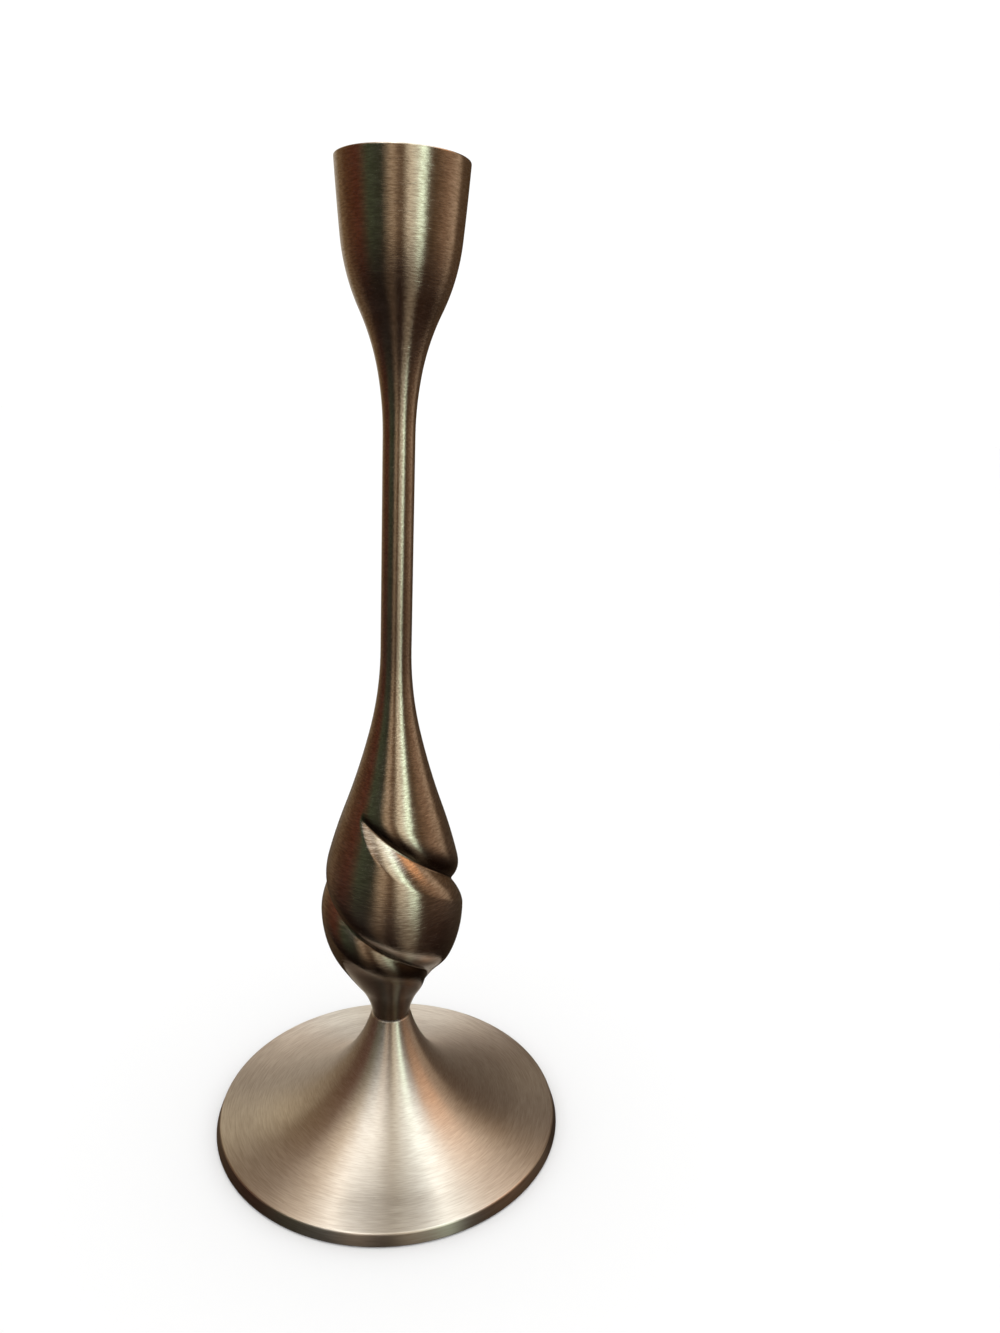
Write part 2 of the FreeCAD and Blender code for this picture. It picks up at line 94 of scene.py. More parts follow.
# Painted shade: darker colour in the grooves under their overhangs, on the bud's lower part round the
# neck, and on the foot's upright edge
SHADOW_RISE, SHADOW_GROWTH, SHADOW_EDGE = 6.5 * MM, 7.0 * MM, 0.5 * MM
NECK_DARK_TOP, NECK_DARK_HEIGHT, EDGE_DARK_BLEND = 46.0 * MM, 25.0 * MM, 0.3 * MM
# In a groove: its share of its full height at the tip, a factor that fills it sooner, and the
# degrees from the tip over which it begins
SHADOW_TIP, SHADOW_FULL, SHADOW_BEGIN = 0.3, 1.5, 3.0
GROOVE_DARK, NECK_DARK, EDGE_DARK = 0.84, 0.94, 0.62
# The dark brown colour of the painted shade
PAINTED_SHADE_COLOR = (0.045, 0.024, 0.011)

# Fineness of the meshes: spacing of the rows, and columns round the axis
FINE_STEP, PLAIN_STEP, STEM_STEP = 0.37 * MM, 1.6 * MM, 12.8 * MM
MOUTH_STEP, SOCKET_STEP = 3.2 * MM, 8.0 * MM
CONE_STEP, ROOF_STEP, FELT_STEP = 0.8 * MM, 3.2 * MM, 4.8 * MM
CASTING_COLUMNS, FOOT_COLUMNS = 300, 256
# How many of the bud's lowest points its rounded edge replaces, and the share of a straight
# run that a rounded corner takes
LOW_EDGE_ROWS, ROUNDED_SHARE = 3, 0.1
# Edges that turn by more than this stay sharp
CASTING_SHARP, FOOT_SHARP = 50 * DEGREE, 35 * DEGREE
# Points closer than this are one, and an outline that bends less than this is straight
SAME_PLACE, NEARLY_STRAIGHT = 1e-6, 1e-9


# Outlines

def heading(lean):
    """Direction of an outline that leans outwards by an angle."""
    return Vector((math.sin(lean), math.cos(lean)))


def arc_points(start, start_heading, finish, spacing):
    """Points on the arc that leaves start in a given direction and ends at finish."""
    side = Vector((start_heading.y, -start_heading.x))
    span = finish - start
    reach = span.dot(span) / (2 * side.dot(span))
    centre = start + side * reach
    first = start - centre
    sweep = first.angle_signed(finish - centre)
    count = max(1, math.ceil(abs(reach * sweep) / spacing))
    points = []
    for step in range(count + 1):
        turned = first.copy()
        turned.rotate(Matrix.Rotation(-sweep * step / count, 2))
        points.append(centre + turned)
    return points


def bend(start, start_lean, finish, finish_lean, spacing):
    """Points from start to finish on two arcs that join smoothly."""
    first, last = heading(start_lean), heading(finish_lean)
    span = finish - start
    both = first + last
    spread = 2 * (1 - first.dot(last))
    along = span.dot(both)
    square = span.dot(span)
    if spread * square < NEARLY_STRAIGHT * along * along:
        reach = square / (2 * along)
    else:
        reach = (math.sqrt(along * along + spread * square) - along) / spread
    join = (start + finish + (first - last) * reach) / 2
    lower = arc_points(start, first, join, spacing)
    upper = arc_points(finish, -last, join, spacing)
    return lower + upper[-2::-1]


def run(start, finish, spacing):
    count = max(1, math.ceil((finish - start).length / spacing))
    return [start.lerp(finish, step / count) for step in range(count + 1)]


def rounded(corner, before, after, size, steps=4):
    """Points that round off a corner between two neighbours."""
    start = corner + (before - corner).normalized() * size
    finish = corner + (after - corner).normalized() * size
    points = []
    for step in range(steps + 1):
        share = step / steps
        points.append(start.lerp(corner, share).lerp(corner.lerp(finish, share), share))
    return points


def joined(*runs):
    """One list of points from runs that meet end to end."""
    points = []
    for piece in runs:
        for place in piece:
            if not points or (place - points[-1]).length > SAME_PLACE:
                points.append(place)
    return points


# Mesh makers

def turned_mesh(name, outline, columns):
    """A closed solid turned round the upright axis. The outline starts and ends on the axis
    or closes on itself."""
    on_axis = outline[0].x < SAME_PLACE
    rings = outline[1:-1] if on_axis else outline
    verts = []
    for place in rings:
        for column in range(columns):
            turn = 2 * math.pi * column / columns
            verts.append((place.x * math.sin(turn), -place.x * math.cos(turn), place.y))
    faces = []
    count = len(rings)
    for row in range(count - 1 if on_axis else count):
        low = row * columns
        high = (row + 1) % count * columns
        for column in range(columns):
            beside = (column + 1) % columns
            faces.append((low + column, low + beside, high + beside, high + column))
    if on_axis:
        foot, top = len(verts), len(verts) + 1
        verts += [(0, 0, outline[0].y), (0, 0, outline[-1].y)]
        last = (count - 1) * columns
        for column in range(columns):
            beside = (column + 1) % columns
            faces.append((foot, beside, column))
            faces.append((top, last + column, last + beside))
    mesh = bpy.data.meshes.new(name)
    mesh.from_pydata(verts, [], faces)
    mesh.shade_smooth()
    piece = bpy.data.objects.new(name, mesh)
    bpy.context.scene.collection.objects.link(piece)
    return piece


def sharpen(piece, angle):
    """Marks the edges that turn by more than the angle as sharp."""
    piece.data.set_sharp_from_angle(angle=angle)


# Sums with node sockets, in shader trees and in geometry trees

class Wire:
    """A socket that can be used in sums. Each sum adds a Math node."""

    def __init__(self, tree, socket):
        self.tree = tree
        self.socket = socket

    def math(self, operation, *others, clamp=False):
        node = self.tree.nodes.new("ShaderNodeMath")
        node.operation = operation
        node.use_clamp = clamp
        for place, value in enumerate((self, *others)):
            connect(self.tree, value, node.inputs[place])
        return Wire(self.tree, node.outputs[0])

    def __add__(self, other):
        return self.math("ADD", other)

    def __mul__(self, other):
        return self.math("MULTIPLY", other)

    def __sub__(self, other):
        return self.math("SUBTRACT", other)

    def __rsub__(self, other):
        return (self * -1) + other

    def __truediv__(self, other):
        return self.math("DIVIDE", other)

    def __neg__(self):
        return self * -1

    __radd__ = __add__
    __rmul__ = __mul__

    def clamped(self):
        return self.math("ADD", 0.0, clamp=True)

    def eased(self):
        """Smooth step of a share that is kept between 0 and 1."""
        share = self.clamped()
        return share * share * (3 - 2 * share)

    def decay(self, length):
        """Falls from 1 towards 0 with the given length."""
        return (-self / length).math("EXPONENT")

    def at_least(self, other):
        return self.math("MAXIMUM", other)

    def below(self, other):
        return self.math("LESS_THAN", other)


def share_between(value, start, finish):
    """0 at the start and 1 at the finish."""
    return (value - start) / (finish - start)


def connect(tree, value, target):
    if isinstance(value, Wire):
        tree.links.new(value.socket, target)
    else:
        target.default_value = value


class Board:
    """A node tree with one way to add its nodes."""

    def __init__(self, tree):
        self.tree = tree

    def add(self, kind, settings=None, stops=None, **sockets):
        node = self.tree.nodes.new(kind)
        for key, value in (settings or {}).items():
            setattr(node, key, value)
        if stops:
            set_stops(node.color_ramp, stops)
        for key, value in sockets.items():
            connect(self.tree, value, node.inputs[key.replace("_", " ")])
        return node

    def wire(self, node, output=0):
        return Wire(self.tree, node.outputs[output])

    def split(self, vector):
        """The three parts of a vector."""
        parts = self.add("ShaderNodeSeparateXYZ", Vector=vector)
        return tuple(self.wire(parts, axis) for axis in "XYZ")


def set_stops(ramp, stops):
    ramp.elements[0].position = stops[0][0]
    ramp.elements[0].color = (*stops[0][1], 1)
    ramp.elements[1].position = stops[-1][0]
    ramp.elements[1].color = (*stops[-1][1], 1)
    for position, color in stops[1:-1]:
        ramp.elements.new(position).color = (*color, 1)


# Spiral bud: geometry nodes press the two grooves into the turned casting

def groove_stage(size, angle, height):
    """Height over a groove's lowest line, and how far it has opened and faded, at an angle from
    its tip in degrees and a height."""
    valley = size["Tip height"] - size["Drop per turn"] * (angle / 360)
    opened = 1 - angle.decay(size["Opening angle"])
    faded = share_between(angle, size["Fade angle"], size["End angle"]).clamped()
    return height - valley, opened, faded


def groove_depth(size, angle, height):
    """Depth of one groove at an angle from its tip, in degrees, and a height."""
    above, opened, faded = groove_stage(size, angle, height)
    deepened = 1 - angle.decay(size["Deepening angle"])
    width = TIP_WIDTH + (1 - TIP_WIDTH) * opened
    upper = (1 - above / (size["Upper side"] * width)).clamped()
    lower = (1 + above / (size["Lower side"] * width)).clamped()
    upper_dip = upper * upper * upper
    hollow = opened * opened * LOWER_HOLLOW
    lower_dip = lower + (lower * lower - lower) * hollow
    is_lower = above.below(0.0)
    dip = upper_dip + (lower_dip - upper_dip) * is_lower
    inside = angle.below(size["End angle"])
    return dip * size["Depth"] * deepened * (1 - faded * faded) * inside


def groove_shadow(size, angle, height):
    """How much painted shade darkens a groove at an angle and a height: most at the foot of the wall,
    under the overhang.
    """
    above, opened, faded = groove_stage(size, angle, height)
    reach = SHADOW_TIP + (1 - SHADOW_TIP) * opened
    over = (1 - above / (reach * (SHADOW_RISE + angle * (SHADOW_GROWTH / 360)))).clamped()
    under = (1 + above / SHADOW_EDGE).clamped()
    begun = (angle / SHADOW_BEGIN).clamped()
    inside = angle.below(size["End angle"])
    return (over * SHADOW_FULL).clamped() * under * begun * (1 - faded) * inside


def axis_distance(x, y):
    """Distance from the upright axis, never quite zero."""
    return (x * x + y * y).math("SQRT").at_least(SAME_PLACE)


def angle_from_tip(x, y, tip_angle):
    turn = x.math("ARCTAN2", -y) / DEGREE
    return (turn - tip_angle).math("FLOORED_MODULO", 360 / STARTS)


def strongest(rule, size, angle, height):
    """The greatest value of a rule over all turns of the grooves that pass an angle."""
    value = rule(size, angle, height)
    for start in range(1, STARTS):
        value = value.at_least(rule(size, angle + 360 / STARTS * start, height))
    return value


def groove_tree(material):
    tree = bpy.data.node_groups.new("press_spiral_grooves", "GeometryNodeTree")
    tree.interface.new_socket("Geometry", in_out="INPUT", socket_type="NodeSocketGeometry")
    for name in GROOVE:
        tree.interface.new_socket(name, in_out="INPUT", socket_type="NodeSocketFloat")
    tree.interface.new_socket("Geometry", in_out="OUTPUT", socket_type="NodeSocketGeometry")
    board = Board(tree)
    given = board.add("NodeGroupInput")
    size = {name: board.wire(given, name) for name in GROOVE}
    position = board.wire(board.add("GeometryNodeInputPosition"))
    x, y, height = board.split(position)
    radius = axis_distance(x, y)
    angle = angle_from_tip(x, y, size["Tip angle"])
    kept = 1 - strongest(groove_depth, size, angle, height) / radius
    moved = board.add("ShaderNodeCombineXYZ", X=x * kept, Y=y * kept, Z=height)
    placed = board.add("GeometryNodeSetPosition", Geometry=board.wire(given, "Geometry"),
                       Position=board.wire(moved))
    real = board.add("GeometryNodeRealizeInstances", Geometry=board.wire(placed))
    dressed = board.add("GeometryNodeSetMaterial", Geometry=board.wire(real), Material=material)
    board.add("NodeGroupOutput", Geometry=board.wire(dressed))
    return tree


def press_grooves(piece, material):
    tree = groove_tree(material)
    modifier = piece.modifiers.new("grooves", "NODES")
    modifier.node_group = tree
    for item in tree.interface.items_tree:
        if item.in_out == "INPUT" and item.name in GROOVE:
            modifier[item.identifier] = GROOVE[item.name]
    graph = bpy.context.evaluated_depsgraph_get()
    pressed = bpy.data.meshes.new_from_object(piece.evaluated_get(graph))
    piece.modifiers.remove(modifier)
    piece.data = pressed
    pressed.name = piece.name
    pressed.shade_smooth()


def make_casting(material):
    """Cup, thin stem and bud in one smooth mesh."""
    joint, rim = JOINT_HEIGHT, RIM_HEIGHT
    stem_base = joint + BUD_LENGTH
    stem_top = stem_base + STEM_LENGTH
    neck = Vector((NECK_RADIUS, joint))
    flare = Vector((FLARE_RADIUS, joint + FLARE_RISE))
    belly = Vector((BELLY_RADIUS, joint + BELLY_RISE))
    shoulder = Vector((SHOULDER_RADIUS, joint + SHOULDER_RISE))
    bud_top = Vector((STEM_RADIUS, stem_base))
    cup_base = Vector((STEM_RADIUS, stem_top))
    cup_turn = Vector((CUP_TURN_RADIUS, rim - CUP_TURN_DROP))
    lip = Vector((RIM_RADIUS, rim))
    inner_lip = Vector((RIM_RADIUS - LIP_WIDTH, rim))
    mouth_floor = Vector((CANDLE_RADIUS, rim - MOUTH_DEPTH))
    socket_floor = Vector((CANDLE_RADIUS, mouth_floor.y - CANDLE_DEPTH))
    foot_point = Vector((0, joint))
    lower_bud = bend(neck, NECK_LEAN, flare, FLARE_LEAN, FINE_STEP)[LOW_EDGE_ROWS:]
    cup = bend(cup_turn, CUP_TURN_LEAN, lip, RIM_LEAN, PLAIN_STEP)[:-1]
    outline = joined(
        [foot_point],
        rounded(neck, foot_point, lower_bud[0], LIP_ROUNDING),
        lower_bud,
        bend(flare, FLARE_LEAN, belly, 0.0, FINE_STEP),
        bend(belly, 0.0, shoulder, SHOULDER_LEAN, FINE_STEP),
        bend(shoulder, SHOULDER_LEAN, bud_top, 0.0, PLAIN_STEP),
        run(bud_top, cup_base, STEM_STEP),
        bend(cup_base, 0.0, cup_turn, CUP_TURN_LEAN, PLAIN_STEP),
        cup,
        rounded(lip, cup[-1], inner_lip, LIP_ROUNDING),
        rounded(inner_lip, lip, mouth_floor, LIP_ROUNDING),
        run(inner_lip.lerp(mouth_floor, ROUNDED_SHARE), mouth_floor, MOUTH_STEP),
        run(mouth_floor, socket_floor, SOCKET_STEP),
        [Vector((0, socket_floor.y))],
    )
    casting = turned_mesh("spiral_stem", outline, CASTING_COLUMNS)
    press_grooves(casting, material)
    sharpen(casting, CASTING_SHARP)
    return casting


def make_foot():
    """Trumpet foot with rounded edges and its hollow."""
    joint = JOINT_HEIGHT
    slope_down = Vector((math.cos(APRON_SLOPE), -math.sin(APRON_SLOPE)))
    normal = Vector((math.sin(APRON_SLOPE), math.cos(APRON_SLOPE)))
    edge_top = Vector((FOOT_RADIUS - FOOT_DRAFT, FOOT_EDGE))
    edge_low = Vector((FOOT_RADIUS, FOOT_LOW.z))
    collar = Vector((COLLAR_RADIUS, joint - EDGE_ROUNDING))
    tangent = edge_top - slope_down * APRON_WIDTH
    rise = collar - tangent
    cone_radius = rise.dot(rise) / (2 * rise.dot(normal))
    centre = tangent + normal * cone_radius
    inner_tangent = centre - normal * (cone_radius + FOOT_WALL)
    seat_height = joint - BOSS_DEPTH
    inner_reach = (cone_radius + FOOT_WALL) ** 2 - (centre.y - seat_height) ** 2
    seat = Vector((centre.x - math.sqrt(inner_reach), seat_height))
    cone = arc_points(tangent, -slope_down, collar, CONE_STEP)
    roof = arc_points(inner_tangent, -slope_down, seat, ROOF_STEP)
    recess = Vector((FOOT_RADIUS - FELT_INSET, FOOT_LOW.z))
    land = Vector((recess.x, FELT_RECESS_TOP))
    land_end = Vector((recess.x - FELT_LAND_WIDTH, FELT_RECESS_TOP))
    roof_drop = math.tan(APRON_SLOPE) * (land_end.x - inner_tangent.x)
    roof_edge = Vector((land_end.x, inner_tangent.y - roof_drop))
    hole_low = Vector((STUD_HOLE_RADIUS, seat_height))
    hole_top = Vector((STUD_HOLE_RADIUS, joint))
    collar_corner = Vector((COLLAR_RADIUS, joint))
    collar_top = Vector((COLLAR_RADIUS - EDGE_ROUNDING, joint))
    outline = joined(
        rounded(edge_low, recess, edge_top, EDGE_ROUNDING),
        rounded(edge_top, edge_low, tangent, EDGE_ROUNDING),
        run(edge_top.lerp(tangent, ROUNDED_SHARE), tangent, PLAIN_STEP),
        cone,
        rounded(collar_corner, collar, collar_top, EDGE_ROUNDING),
        [hole_top, hole_low],
        roof[::-1],
        [roof_edge, land_end, land, recess],
    )
    foot = turned_mesh("foot_shell", outline, FOOT_COLUMNS)
    sharpen(foot, FOOT_SHARP)
    return foot


def make_felt():
    """Felt disc with a soft edge."""
    low, high, radius = FELT_LOW.z, FELT_HIGH.z, FELT_HIGH.x
    rounding = (high - low) * FELT_ROUNDING
    bottom, top = Vector((0, low)), Vector((0, high))
    low_corner, high_corner = Vector((radius, low)), Vector((radius, high))
    outline = joined(
        run(bottom, low_corner, FELT_STEP)[:-1],
        rounded(low_corner, bottom, high_corner, rounding),
        rounded(high_corner, low_corner, top, rounding),
        [top],
    )
    return turned_mesh("felt_disc", outline, FOOT_COLUMNS)


# Materials

# Brushing noise: cells to a radian round the axis, cells to a metre along the outline
HAIRS, STROKES = (7.0, 5200.0), (8.0, 2100.0)
BANDS, SCRATCHES = (0.8, 240.0), (2.5, 1500.0)
# A scratch shows where its noise is over a level
SCRATCH_LEVEL, SCRATCH_BLEND = 0.67, 0.05
# What each adds to the tint, to the roughness and to the height of the bumps
TINT_HAIRS, TINT_STROKES, TINT_BANDS = 0.9, 2.6, 0.6
ROUGH_HAIRS, ROUGH_BANDS, ROUGH_SCRATCH = 0.10, 0.08, 0.04
HIGH_HAIRS, HIGH_STROKES, DEEP_SCRATCH = 0.6, 0.9, 0.5
BRUSH_DEPTH, NOISE_MIDDLE = 0.2 * MM, 0.5

ZINC_DARK, ZINC_LIGHT = (0.50, 0.52, 0.54), (0.72, 0.73, 0.74)
ZINC_ROUGHNESS, ZINC_SPREAD = 0.28, 0.2
FELT_DARK, FELT_LIGHT = (0.008, 0.008, 0.009), (0.05, 0.048, 0.046)
FELT_ROUGHNESS, FELT_SPREAD = 0.85, 0.15

# Places of the Mix node's colour sockets
MIX_SHARE, MIX_FIRST, MIX_SECOND, MIX_RESULT = 0, 6, 7, 2


def new_material(name):
    material = bpy.data.materials.new(name)
    material.use_nodes = True
    material.node_tree.nodes.clear()
    return material, Board(material.node_tree)


def finish_material(board, shader):
    board.add("ShaderNodeOutputMaterial", Surface=board.wire(shader))


def place_on_piece(board):
    return board.wire(board.add("ShaderNodeTexCoord"), "Object")


def ring_coordinates(board, slant):
    """Coordinates that run round the axis and along the outline. Slant takes off the radius."""
    x, y, height = board.split(place_on_piece(board))
    radius = axis_distance(x, y)
    return x / radius, y / radius, height - radius * slant


def ring_noise(board, ring, cells, detail=2.0):
    """Noise stretched into strokes that run round the axis."""
    east, north, along = ring
    to_radian, to_metre = cells
    vector = board.add("ShaderNodeCombineXYZ", X=east * to_radian, Y=north * to_radian,
                       Z=along * to_metre)
    noise = board.add("ShaderNodeTexNoise", Vector=board.wire(vector), Scale=1.0, Detail=detail,
                      Roughness=0.6)
    return board.wire(noise)


def mixed_color(board, share, first, second):
    node = board.add("ShaderNodeMix", {"data_type": "RGBA"})
    connect(board.tree, share, node.inputs[MIX_SHARE])
    for value, place in ((first, MIX_FIRST), (second, MIX_SECOND)):
        if isinstance(value, Wire):
            connect(board.tree, value, node.inputs[place])
        else:
            node.inputs[place].default_value = (*value, 1)
    return board.wire(node, MIX_RESULT)


def brushed_metal(name, light, dark, slant, roughness, anisotropy, grain, painted_shade):
    """Satin metal brushed round the axis, with short strokes in two tints and fine scratches."""
    material, board = new_material(name)
    ring = ring_coordinates(board, slant)
    hairs = ring_noise(board, ring, HAIRS, detail=3.0)
    strokes = ring_noise(board, ring, STROKES)
    bands = ring_noise(board, ring, BANDS)
    scratches = ring_noise(board, ring, SCRATCHES)
    scratch = ((scratches - SCRATCH_LEVEL) / SCRATCH_BLEND).clamped()
    hair, stroke, band = (noise - NOISE_MIDDLE for noise in (hairs, strokes, bands))
    shade = NOISE_MIDDLE + hair * TINT_HAIRS + stroke * TINT_STROKES + band * TINT_BANDS
    clean = mixed_color(board, shade.clamped(), dark, light)
    # Mixes in painted shade: the last argument gives where and how much
    color = mixed_color(board, painted_shade(board), clean, PAINTED_SHADE_COLOR)
    gloss = roughness + hair * ROUGH_HAIRS + band * ROUGH_BANDS + scratch * ROUGH_SCRATCH
    height = hairs * HIGH_HAIRS + strokes * HIGH_STROKES - scratch * DEEP_SCRATCH
    bump = board.add("ShaderNodeBump", Strength=grain, Distance=BRUSH_DEPTH, Height=height)
    shader = board.add("ShaderNodeBsdfPrincipled", Base_Color=color, Metallic=1.0,
                       Roughness=gloss.clamped(), Anisotropic=anisotropy,
                       Anisotropic_Rotation=0.25, Normal=board.wire(bump))
    finish_material(board, shader)
    return material


def stem_painted_shade(board):
    """Painted shade in the grooves and round the neck: it grows from just above the bud's belly down
    to the joint, where the bud faces down.
    """
    x, y, height = board.split(place_on_piece(board))
    angle = angle_from_tip(x, y, GROOVE["Tip angle"])
    groove = strongest(groove_shadow, GROOVE, angle, height)
    neck = ((JOINT_HEIGHT + NECK_DARK_TOP - height) / NECK_DARK_HEIGHT).eased()
    return (groove * GROOVE_DARK).at_least(neck * NECK_DARK)


def foot_painted_shade(board):
    """Painted shade on the foot's upright edge."""
    height = board.split(place_on_piece(board))[2]
    return ((FOOT_EDGE - EDGE_DARK_BLEND - height) / EDGE_DARK_BLEND).clamped() * EDGE_DARK


def zinc_steel():
    """Bright zinc on the hidden fasteners, with a faint spangle."""
    material, board = new_material("zinc_plating")
    place = place_on_piece(board)
    noise = board.wire(board.add("ShaderNodeTexNoise", Vector=place, Scale=900.0, Detail=3.0))
    color = mixed_color(board, noise, ZINC_DARK, ZINC_LIGHT)
    bump = board.add("ShaderNodeBump", Strength=0.2, Distance=0.05 * MM, Height=noise)
    shader = board.add("ShaderNodeBsdfPrincipled", Base_Color=color, Metallic=1.0,
                       Roughness=ZINC_ROUGHNESS + noise * ZINC_SPREAD, Normal=board.wire(bump))
    finish_material(board, shader)
    return material


def pressed_felt():
    """Black felt: short fibres in all directions."""
    material, board = new_material("pressed_felt")
    place = place_on_piece(board)
    fibres = board.wire(board.add("ShaderNodeTexNoise", Vector=place, Scale=1600.0, Detail=6.0,
                                  Distortion=1.5))
    patches = board.wire(board.add("ShaderNodeTexNoise", Vector=place, Scale=120.0, Detail=2.0))
    color = mixed_color(board, (fibres + patches) / 2, FELT_DARK, FELT_LIGHT)
    bump = board.add("ShaderNodeBump", Strength=0.8, Distance=0.3 * MM, Height=fibres)
    shader = board.add("ShaderNodeBsdfPrincipled", Base_Color=color, Sheen_Weight=0.3,
                       Roughness=FELT_ROUGHNESS + fibres * FELT_SPREAD, Normal=board.wire(bump))
    finish_material(board, shader)
    return material


def floor_paint():
    material, board = new_material("pale_floor")
    shader = board.add("ShaderNodeBsdfPrincipled", Base_Color=(0.97, 0.97, 0.97, 1), Roughness=0.9)
    finish_material(board, shader)
    return material


# Stage: floor, room light and camera

# What stands round the holder, by its direction from the front in degrees and its light
ROOM = [
    (-180, (0.22, 0.17, 0.13)),
    (-164, (0.42, 0.37, 0.30)),
    (-136, (0.16, 0.10, 0.05)),
    (-112, (0.075, 0.028, 0.008)),
    (-84, (0.070, 0.015, 0.003)),
    (-74, (0.060, 0.025, 0.008)),
    (-60, (0.036, 0.046, 0.020)),
    (-34, (0.020, 0.020, 0.008)),
    (-17, (0.38, 0.27, 0.17)),
    (-6, (0.11, 0.060, 0.028)),
    (2, (0.13, 0.08, 0.04)),
    (12, (0.68, 0.58, 0.42)),
    (25, (0.66, 0.64, 0.50)),
    (34, (1.25, 1.50, 1.18)),
    (45, (0.15, 0.12, 0.08)),
    (57, (0.075, 0.040, 0.015)),
    (86, (0.22, 0.13, 0.075)),
    (106, (0.36, 0.25, 0.165)),
    (120, (0.085, 0.048, 0.024)),
    (160, (0.055, 0.03, 0.014)),
    (180, (0.22, 0.17, 0.13)),
]
# The same far below eye level
LOW_ROOM = [
    (-180, (0.060, 0.042, 0.027)),
    (-125, (0.085, 0.052, 0.028)),
    (-96, (0.014, 0.005, 0.002)),
    (-45, (0.008, 0.003, 0.001)),
    (-24, (0.060, 0.036, 0.020)),
    (-8, (0.012, 0.004, 0.001)),
    (6, (0.020, 0.008, 0.003)),
    (24, (0.16, 0.12, 0.08)),
    (34, (0.16, 0.12, 0.08)),
    (47, (0.028, 0.012, 0.005)),
    (95, (0.018, 0.007, 0.003)),
    (180, (0.060, 0.042, 0.027)),
]
# The light overhead, by the side of the holder that mirrors it, in degrees from the front
OVERHEAD = [
    (-180, (0.10, 0.08, 0.055)),
    (-120, (0.28, 0.235, 0.17)),
    (-88, (1.20, 1.05, 0.73)),
    (-63, (0.17, 0.105, 0.045)),
    (-47, (0.20, 0.125, 0.068)),
    (-30, (0.92, 0.76, 0.59)),
    (-18, (1.70, 1.68, 1.58)),
    (-8, (1.60, 1.57, 1.46)),
    (2, (0.80, 0.73, 0.60)),
    (20, (1.66, 1.74, 1.70)),
    (34, (1.24, 1.10, 0.94)),
    (62, (0.44, 0.29, 0.165)),
    (84, (0.06, 0.036, 0.014)),
    (130, (0.09, 0.064, 0.036)),
    (180, (0.10, 0.08, 0.055)),
]
# Rise above eye level where the light overhead starts and where it is full, and the low room's
OVERHEAD_START, OVERHEAD_FULL = 34 * DEGREE, 50 * DEGREE
LOW_START, LOW_FULL = 6 * DEGREE, -27 * DEGREE
# The overhead bands fan out from a point behind, which comes forward as the rays rise
SPREAD_START, SPREAD = 26 * DEGREE, 0.2
# How far behind the middle a ray has to point for the full glow and wall
REAR_BLEND = 1 / 3
# A brighter patch high up behind: strength, half width, rise and reach
GLOW, GLOW_WIDTH, GLOW_RISE, GLOW_REACH = 2.1, 0.17, 56 * DEGREE, 16 * DEGREE
# The dim wall behind reaches higher in its middle and less high at the left
WALL_RISE, WALL_REACH = 10 * DEGREE, 0.27
WALL_DROP, WALL_LEFT = 12 * DEGREE, 0.2
# A warm lamp at the right: its direction, how far its light goes and over what width it fades
LAMP_AZIMUTH, LAMP_ELEVATION = 84 * DEGREE, 40 * DEGREE
LAMP_EDGE, LAMP_FADE = 21 * DEGREE, 15 * DEGREE
LAMP_LIGHT = (0.95, 0.48, 0.23)
STUDIO_WHITE = (1.0, 1.0, 1.0)
FLOOR_HALF_WIDTH = 12.0


def direction(azimuth, elevation):
    flat = math.cos(elevation)
    return Vector((math.sin(azimuth) * flat, -math.cos(azimuth) * flat, math.sin(elevation)))


def ramp_by_angle(board, stops, degrees):
    """Light that changes with an angle between -180 and 180 degrees."""
    shares = [(angle / 360 + 0.5, light) for angle, light in stops]
    return board.wire(board.add("ShaderNodeValToRGB", stops=shares, Fac=degrees / 360 + 0.5))


def near_zero(value, reach):
    """Falls smoothly from 1 at zero to 0 where the value is the reach or more, either way."""
    return (1 - value.math("ABSOLUTE") / reach).eased()


def mirrored_room(board):
    """What the metal mirrors: a dim room with soft windows, bands of light overhead and a lamp."""
    place = board.wire(board.add("ShaderNodeTexCoord"), "Generated")
    x, y, height = board.split(place)
    rise = height.math("ARCSINE")
    azimuth = x.math("ARCTAN2", -y) / DEGREE
    around = ramp_by_angle(board, ROOM, azimuth)
    beneath = ramp_by_angle(board, LOW_ROOM, azimuth)
    centre = 1 - (rise / SPREAD_START).eased() * SPREAD
    overhead = ramp_by_angle(board, OVERHEAD, x.math("ARCTAN2", centre - y) / DEGREE)
    rear = (y / REAR_BLEND).clamped()
    glow = near_zero(rise - GLOW_RISE, GLOW_REACH) * rear * near_zero(x, GLOW_WIDTH) * GLOW + 1
    overhead = board.wire(board.add("ShaderNodeVectorMath", {"operation": "SCALE"},
                                    Vector=overhead, Scale=glow))
    wall = near_zero(x, WALL_REACH) * WALL_RISE
    wall = (wall - ((-x - WALL_LEFT) / WALL_LEFT).eased() * WALL_DROP) * rear
    high = share_between(rise - wall, OVERHEAD_START, OVERHEAD_FULL).eased()
    low = share_between(rise, LOW_START, LOW_FULL).eased()
    towards_lamp = board.add("ShaderNodeVectorMath", {"operation": "DOT_PRODUCT"}, Vector=place)
    towards_lamp.inputs[1].default_value = direction(LAMP_AZIMUTH, LAMP_ELEVATION)
    from_lamp = board.wire(towards_lamp, "Value").math("ARCCOSINE")
    lamp = ((LAMP_EDGE - from_lamp) / LAMP_FADE).eased()
    room = mixed_color(board, high, around, overhead)
    room = mixed_color(board, low, room, beneath)
    return mixed_color(board, lamp, room, LAMP_LIGHT)


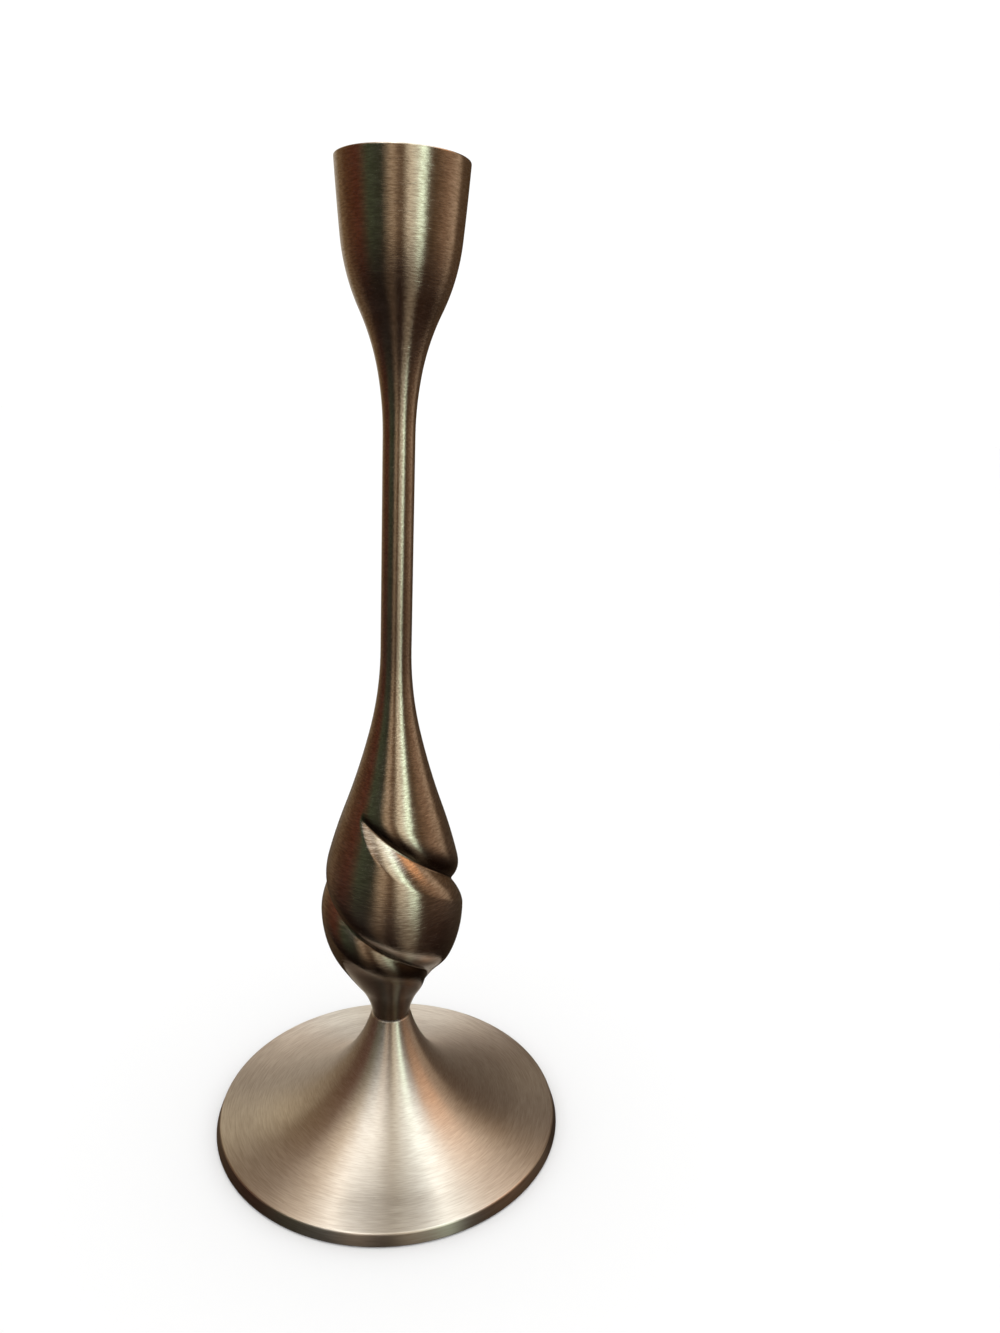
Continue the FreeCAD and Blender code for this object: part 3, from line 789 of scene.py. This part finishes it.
def light_room():
    """A plain white studio. Only mirrored rays see the room."""
    world = bpy.data.worlds.new("studio")
    bpy.context.scene.world = world
    world.use_nodes = True
    world.node_tree.nodes.clear()
    board = Board(world.node_tree)
    mirrored = board.wire(board.add("ShaderNodeLightPath"), "Is Glossy Ray")
    color = mixed_color(board, mirrored, STUDIO_WHITE, mirrored_room(board))
    background = board.add("ShaderNodeBackground", Color=color, Strength=1.0)
    board.add("ShaderNodeOutputWorld", Surface=board.wire(background))


def make_floor():
    half = FLOOR_HALF_WIDTH
    mesh = bpy.data.meshes.new("floor")
    corners = [(-half, -half, 0), (half, -half, 0), (half, half, 0), (-half, half, 0)]
    mesh.from_pydata(corners, [], [(0, 1, 2, 3)])
    floor = bpy.data.objects.new("floor", mesh)
    bpy.context.scene.collection.objects.link(floor)
    mesh.materials.append(floor_paint())
    floor.visible_glossy = False


# The camera, found by fitting the outline in the photograph
CAMERA_PLACE = Vector((0, -0.288, 0.2374))
CAMERA_YAW, CAMERA_DOWN, CAMERA_ROLL = 6.33 * DEGREE, 14.97 * DEGREE, 2.45 * DEGREE
FOCAL_PIXELS, PHOTO_HEIGHT, SENSOR = 972.4, 1333, 36.0
EXPOSURE = 0.1


def set_camera():
    data = bpy.data.cameras.new("camera")
    data.sensor_fit = "AUTO"
    data.sensor_width = SENSOR
    data.lens = FOCAL_PIXELS * SENSOR / PHOTO_HEIGHT
    data.clip_start = 0.01
    camera = bpy.data.objects.new("camera", data)
    bpy.context.scene.collection.objects.link(camera)
    forward = Vector((math.sin(CAMERA_YAW) * math.cos(CAMERA_DOWN),
                      math.cos(CAMERA_YAW) * math.cos(CAMERA_DOWN), -math.sin(CAMERA_DOWN)))
    level = Vector((math.cos(CAMERA_YAW), -math.sin(CAMERA_YAW), 0))
    upright = level.cross(forward)
    right = level * math.cos(CAMERA_ROLL) + upright * math.sin(CAMERA_ROLL)
    up = right.cross(forward)
    turn = Matrix((right, up, -forward)).transposed().to_4x4()
    camera.matrix_world = Matrix.Translation(CAMERA_PLACE) @ turn
    bpy.context.scene.camera = camera


# Assembly

def dress(piece, material, node):
    if not piece.data.materials:
        piece.data.materials.append(material)
    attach(piece, "root")
    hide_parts(node)


view = bpy.context.scene.view_settings
view.view_transform = "Standard"
view.exposure = EXPOSURE
set_camera()
light_room()
make_floor()

# Each metal takes painted shade from its last argument: grooves and neck on the stem, the upright
# edge on the foot
stem_metal = brushed_metal("stem_satin", light=(0.94, 0.87, 0.78), dark=(0.60, 0.52, 0.44), slant=0.0,
                           roughness=0.175, anisotropy=0.85, grain=0.20, painted_shade=stem_painted_shade)
foot_metal = brushed_metal("foot_satin", light=(0.90, 0.84, 0.77), dark=(0.70, 0.63, 0.56), slant=1.0,
                           roughness=0.31, anisotropy=1.0, grain=0.05, painted_shade=foot_painted_shade)
dress(make_casting(stem_metal), stem_metal, "stem_casting")
dress(make_foot(), foot_metal, "trumpet_foot")
dress(make_felt(), pressed_felt(), "felt_pad")

zinc = zinc_steel()
for node in ("foot_stud", "flat_washer", "lock_washer", "hex_nut"):
    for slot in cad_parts[node].material_slots:
        slot.material = zinc
